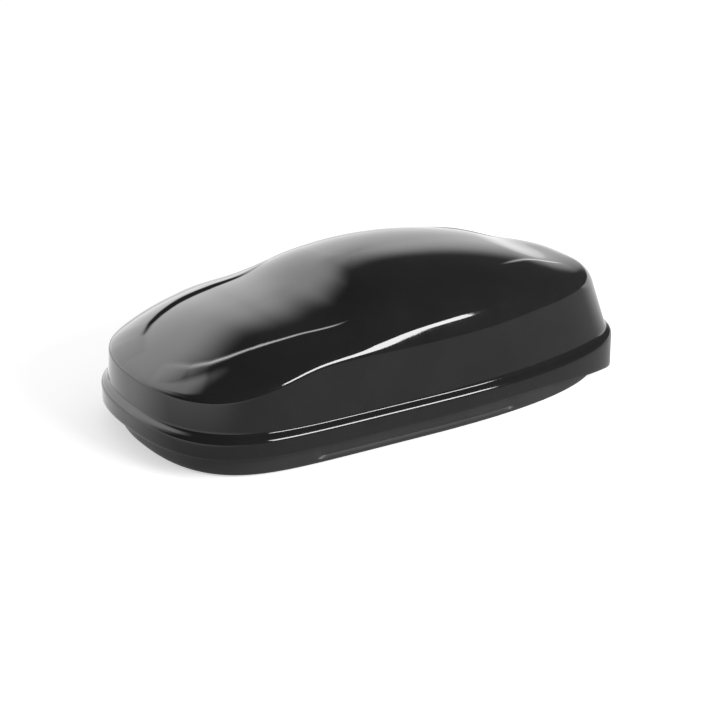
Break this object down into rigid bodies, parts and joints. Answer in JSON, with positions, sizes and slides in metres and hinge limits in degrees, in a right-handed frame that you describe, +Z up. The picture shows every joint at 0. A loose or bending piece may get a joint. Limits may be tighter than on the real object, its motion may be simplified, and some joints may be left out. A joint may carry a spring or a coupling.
{
  "type": "roof cargo box",
  "caption": "Hard-shell roof cargo box with a gloss domed lid hinged along one side, a textured tray, gas stays, key-worked catches and retractable bar clamps",
  "frame": {"origin": "centre of the bounding box on the tray's underside", "axes": "+X is the nose, +Y is the hinge side, +Z is up"},
  "size_m": [1.4, 0.72, 0.4043],
  "materials": {
    "gloss_shell": "polished black ABS",
    "textured_shell": "fine-grained black ABS",
    "black_nylon": "moulded nylon",
    "zinc_steel": "zinc-plated",
    "rivet_aluminium": "bright",
    "polished_chrome": "polished",
    "black_paint": "satin black",
    "seal_rubber": "soft EPDM",
    "webbing": "woven polyester"
  },
  "bodies": {
    "base": {"base_tray": "textured_shell", "mount_channels": "black_nylon", "floor_rails": "rivet_aluminium", "floor_mat": "seal_rubber", "rim_seal": "seal_rubber", "hinge_brackets": "zinc_steel", "hinge_pins": "zinc_steel", "hinge_bracket_rivets": "rivet_aluminium", "stay_feet": "zinc_steel", "stay_foot_pins": "zinc_steel", "catch_keepers": "zinc_steel", "keeper_rivets": "rivet_aluminium", "clamp_plates": "zinc_steel", "strap_anchors": "black_nylon", "load_straps": "webbing", "strap_buckles": "black_nylon", "drain_plugs": "black_nylon"},
    "lid": {"lid": "gloss_shell", "lid_strut_brackets": "zinc_steel", "hinge_arms": "zinc_steel", "hinge_arm_rivets": "rivet_aluminium", "lock_housing": "black_nylon", "lock_trim": "polished_chrome", "rod_guides": "black_nylon", "lid_stiffener": "rivet_aluminium", "pull_strap": "webbing"},
    "stay_tube_front": {"stay_tube_front": "black_paint"},
    "stay_tube_rear": {"stay_tube_rear": "black_paint"},
    "stay_rod_front": {"stay_rod_front": "polished_chrome"},
    "stay_rod_rear": {"stay_rod_rear": "polished_chrome"},
    "lock_core": {"lock_barrel": "polished_chrome", "lock_pinion": "zinc_steel"},
    "lock_bar": {"lock_rod": "zinc_steel", "catch_hooks": "zinc_steel"},
    "u_bolt_fl": {"u_bolt_fl": "zinc_steel"},
    "knob_fl_1": {"knob_fl_1": "black_nylon"},
    "knob_fl_2": {"knob_fl_2": "black_nylon"},
    "u_bolt_fr": {"u_bolt_fr": "zinc_steel"},
    "knob_fr_1": {"knob_fr_1": "black_nylon"},
    "knob_fr_2": {"knob_fr_2": "black_nylon"},
    "u_bolt_rl": {"u_bolt_rl": "zinc_steel"},
    "knob_rl_1": {"knob_rl_1": "black_nylon"},
    "knob_rl_2": {"knob_rl_2": "black_nylon"},
    "u_bolt_rr": {"u_bolt_rr": "zinc_steel"},
    "knob_rr_1": {"knob_rr_1": "black_nylon"},
    "knob_rr_2": {"knob_rr_2": "black_nylon"}
  },
  "joints": [
    {"name": "lid_hinge", "type": "hinge", "parent": "base", "child": "lid", "pos_m": [0, 0.318, 0.068], "axis": [-1, 0, 0], "range_deg": [0, 45]},
    {"name": "stay_swing_front", "type": "hinge", "parent": "base", "child": "stay_tube_front", "pos_m": [0.44, 0.185, 0.024], "axis": [-1, 0, 0], "range_deg": [0, 24.2]},
    {"name": "stay_slide_front", "type": "slide", "parent": "stay_tube_front", "child": "stay_rod_front", "axis": [0, 0.2806, 0.9598], "range_m": [0, 0.0778]},
    {"name": "stay_swing_rear", "type": "hinge", "parent": "base", "child": "stay_tube_rear", "pos_m": [-0.425, 0.185, 0.024], "axis": [-1, 0, 0], "range_deg": [0, 24.2]},
    {"name": "stay_slide_rear", "type": "slide", "parent": "stay_tube_rear", "child": "stay_rod_rear", "axis": [0, 0.2806, 0.9598], "range_m": [0, 0.0778]},
    {"name": "key_turn", "type": "hinge", "parent": "lid", "child": "lock_core", "pos_m": [0.1, -0.347, 0.15], "axis": [0, 1, 0], "range_deg": [0, 90]},
    {"name": "catch_slide", "type": "slide", "parent": "lid", "child": "lock_bar", "axis": [1, 0, 0], "range_m": [0, 0.018]},
    {"name": "clamp_fl_lower", "type": "slide", "parent": "base", "child": "u_bolt_fl", "axis": [0, 0, -1], "range_m": [0, 0.04]},
    {"name": "knob_fl_1_spin", "type": "hinge", "parent": "base", "child": "knob_fl_1", "pos_m": [0.34, 0.2, 0.04], "axis": [0, 0, 1], "continuous": true},
    {"name": "knob_fl_2_spin", "type": "hinge", "parent": "base", "child": "knob_fl_2", "pos_m": [0.26, 0.2, 0.04], "axis": [0, 0, 1], "continuous": true},
    {"name": "clamp_fr_lower", "type": "slide", "parent": "base", "child": "u_bolt_fr", "axis": [0, 0, -1], "range_m": [0, 0.04]},
    {"name": "knob_fr_1_spin", "type": "hinge", "parent": "base", "child": "knob_fr_1", "pos_m": [0.34, -0.2, 0.04], "axis": [0, 0, 1], "continuous": true},
    {"name": "knob_fr_2_spin", "type": "hinge", "parent": "base", "child": "knob_fr_2", "pos_m": [0.26, -0.2, 0.04], "axis": [0, 0, 1], "continuous": true},
    {"name": "clamp_rl_lower", "type": "slide", "parent": "base", "child": "u_bolt_rl", "axis": [0, 0, -1], "range_m": [0, 0.04]},
    {"name": "knob_rl_1_spin", "type": "hinge", "parent": "base", "child": "knob_rl_1", "pos_m": [-0.26, 0.2, 0.04], "axis": [0, 0, 1], "continuous": true},
    {"name": "knob_rl_2_spin", "type": "hinge", "parent": "base", "child": "knob_rl_2", "pos_m": [-0.34, 0.2, 0.04], "axis": [0, 0, 1], "continuous": true},
    {"name": "clamp_rr_lower", "type": "slide", "parent": "base", "child": "u_bolt_rr", "axis": [0, 0, -1], "range_m": [0, 0.04]},
    {"name": "knob_rr_1_spin", "type": "hinge", "parent": "base", "child": "knob_rr_1", "pos_m": [-0.26, -0.2, 0.04], "axis": [0, 0, 1], "continuous": true},
    {"name": "knob_rr_2_spin", "type": "hinge", "parent": "base", "child": "knob_rr_2", "pos_m": [-0.34, -0.2, 0.04], "axis": [0, 0, 1], "continuous": true}
  ],
  "couplings": [
    {"joint": "stay_swing_front", "follows": "lid_hinge", "ratio": 0.537},
    {"joint": "stay_swing_rear", "follows": "lid_hinge", "ratio": 0.537},
    {"joint": "stay_slide_front", "follows": "lid_hinge", "m_per_rad": 0.099},
    {"joint": "stay_slide_rear", "follows": "lid_hinge", "m_per_rad": 0.099},
    {"joint": "key_turn", "follows": "catch_slide", "rad_per_m": 87.266}
  ]
}
